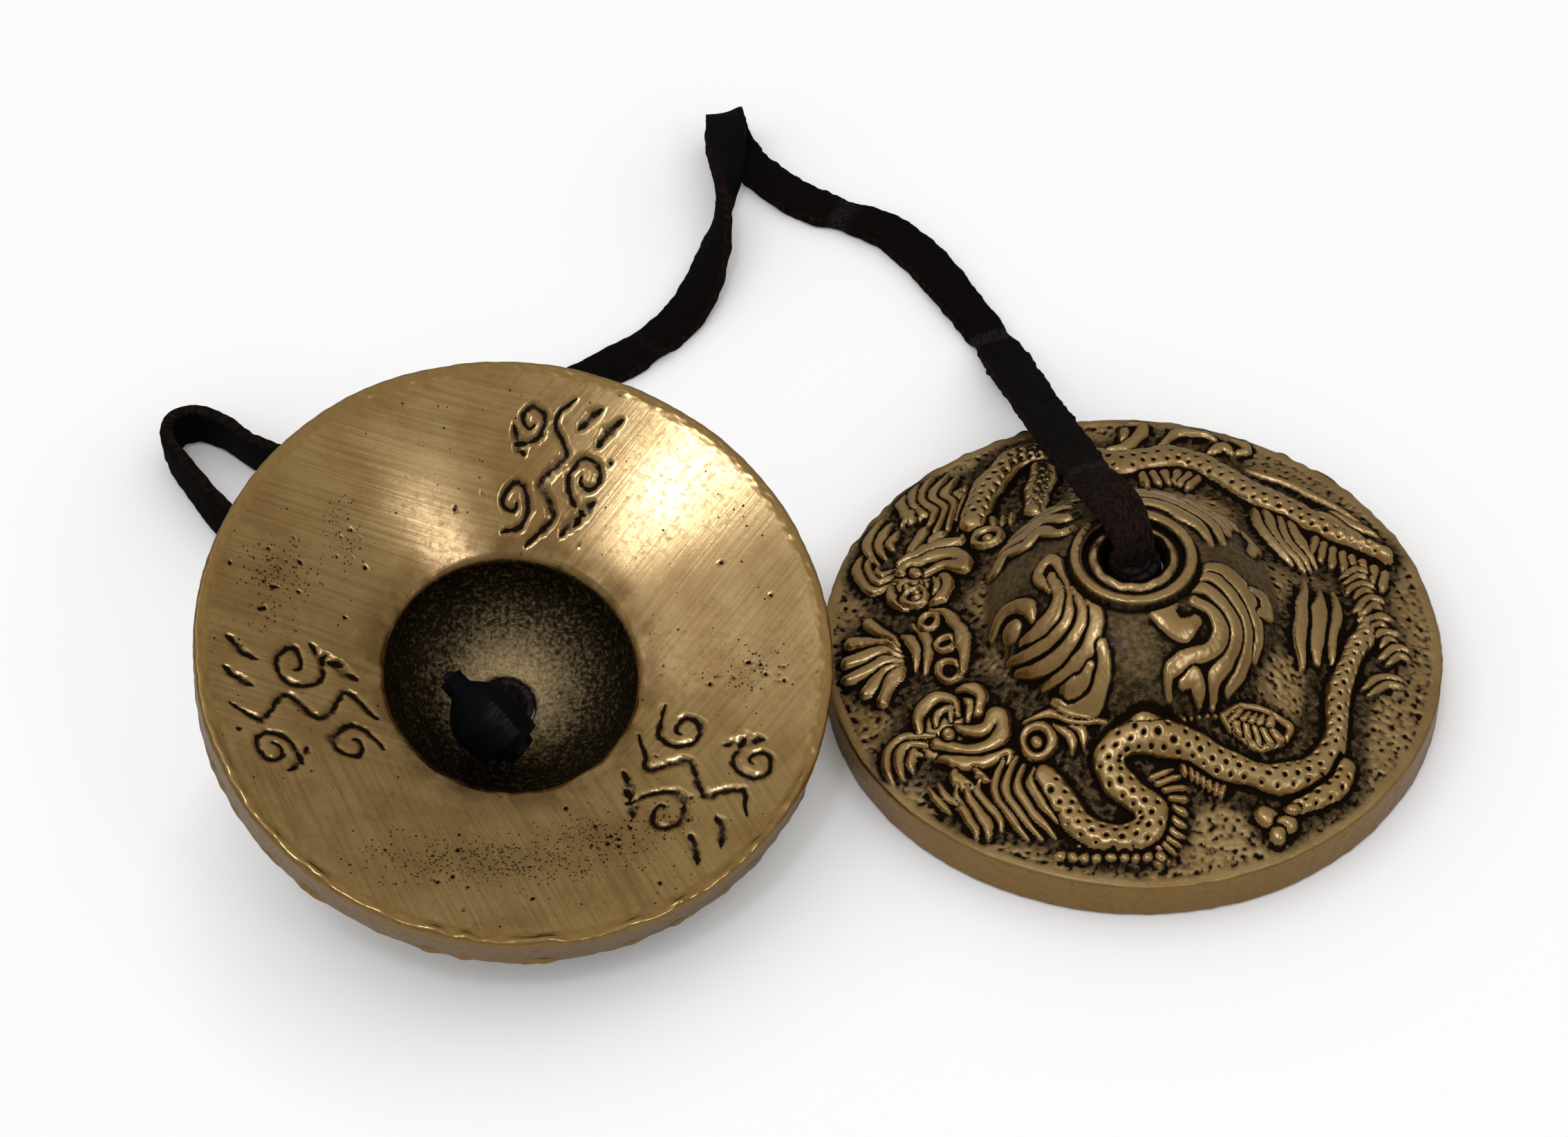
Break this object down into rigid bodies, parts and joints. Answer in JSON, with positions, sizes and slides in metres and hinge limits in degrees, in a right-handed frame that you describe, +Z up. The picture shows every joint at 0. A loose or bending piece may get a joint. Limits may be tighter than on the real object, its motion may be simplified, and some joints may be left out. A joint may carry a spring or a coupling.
{
  "type": "finger cymbals",
  "caption": "Pair of small cast cymbals with raised domes, joined through their holes by one knotted leather strap, laid out on a table.",
  "frame": {"origin": "middle of the footprint, on the table the cymbals lie on", "axes": "+X runs from the left cymbal to the right one, +Y away from the player towards the strap's crown, +Z up"},
  "size_m": [0.138, 0.1278, 0.0302],
  "materials": {
    "cast_brass": "cast and hand-filed brass, dark patina in the recesses, brushed open faces",
    "leather": "dark brown cut leather, smooth grain side, rough flesh side and edges"
  },
  "bodies": {
    "strap_crown": {"strap_crown": "leather"},
    "strap_right_run": {"strap_right_run": "leather"},
    "strap_right_slope": {"strap_right_slope": "leather"},
    "strap_right_riser": {"strap_right_riser": "leather"},
    "right_knot": {"right_knot": "leather"},
    "right_cymbal": {"right_cymbal": "cast_brass"},
    "strap_left_flap": {"strap_left_flap": "leather"},
    "strap_left_leg": {"strap_left_leg": "leather"},
    "strap_left_run": {"strap_left_run": "leather"},
    "strap_left_loop": {"strap_left_loop": "leather"},
    "strap_left_neck": {"strap_left_neck": "leather"},
    "left_knot": {"left_knot": "leather"},
    "left_cymbal": {"left_cymbal": "cast_brass"}
  },
  "joints": [
    {"name": "right_kink_bend", "type": "hinge", "parent": "strap_crown", "child": "strap_right_run", "pos_m": [0.01073, 0.04784, 0.00095], "axis": [-0.529, -0.8209, 0.2149], "range_deg": [0, 30]},
    {"name": "right_outer_bend", "type": "hinge", "parent": "strap_right_run", "child": "strap_right_slope", "pos_m": [0.02653, 0.02434, 0.00115], "axis": [-0.9642, -0.2262, 0.1386], "range_deg": [0, 40]},
    {"name": "right_inner_bend", "type": "hinge", "parent": "strap_right_slope", "child": "strap_right_riser", "pos_m": [0.03303, -0.01396, 0.0189], "axis": [-0.979, -0.204, 0], "range_deg": [0, 20]},
    {"name": "right_mouth_tilt", "type": "hinge", "parent": "strap_right_riser", "child": "right_knot", "pos_m": [0.03653, -0.02535, 0.0191], "axis": [-0.9578, -0.2873, 0], "range_deg": [-3, 20]},
    {"name": "right_cymbal_spin", "type": "hinge", "parent": "right_knot", "child": "right_cymbal", "pos_m": [0.03653, -0.02535, 0.017], "axis": [0, 0, 1], "continuous": true},
    {"name": "crown_fold", "type": "hinge", "parent": "strap_crown", "child": "strap_left_flap", "pos_m": [-0.00262, 0.06324, 0.00258], "axis": [-0.9881, -0.1538, 0], "range_deg": [0, 120]},
    {"name": "left_twist", "type": "hinge", "parent": "strap_left_flap", "child": "strap_left_leg", "pos_m": [-0.00377, 0.04985, 0.0032], "axis": [0.1214, 0.9784, -0.1676], "range_deg": [0, 28]},
    {"name": "left_crease_bend", "type": "hinge", "parent": "strap_left_leg", "child": "strap_left_run", "pos_m": [-0.01367, 0.02764, 0.00095], "axis": [-0.6332, 0.774, 0], "range_deg": [0, 40]},
    {"name": "left_loop_in_bend", "type": "hinge", "parent": "strap_left_run", "child": "strap_left_loop", "pos_m": [-0.05307, 0.01005, 0.00285], "axis": [0, 0, -1], "range_deg": [0, 25]},
    {"name": "left_loop_out_bend", "type": "hinge", "parent": "strap_left_loop", "child": "strap_left_neck", "pos_m": [-0.06247, 0.00424, 0.00294], "axis": [0, 0, -1], "range_deg": [0, 25]},
    {"name": "left_mouth_tilt", "type": "hinge", "parent": "strap_left_neck", "child": "left_knot", "pos_m": [-0.03016, -0.02754, 0.00164], "axis": [-0.6578, -0.7532, 0], "range_deg": [-8, 10]},
    {"name": "left_cymbal_spin", "type": "hinge", "parent": "left_knot", "child": "left_cymbal", "pos_m": [-0.02978, -0.02811, 0.00363], "axis": [0.1773, -0.273, 0.9455], "continuous": true}
  ]
}
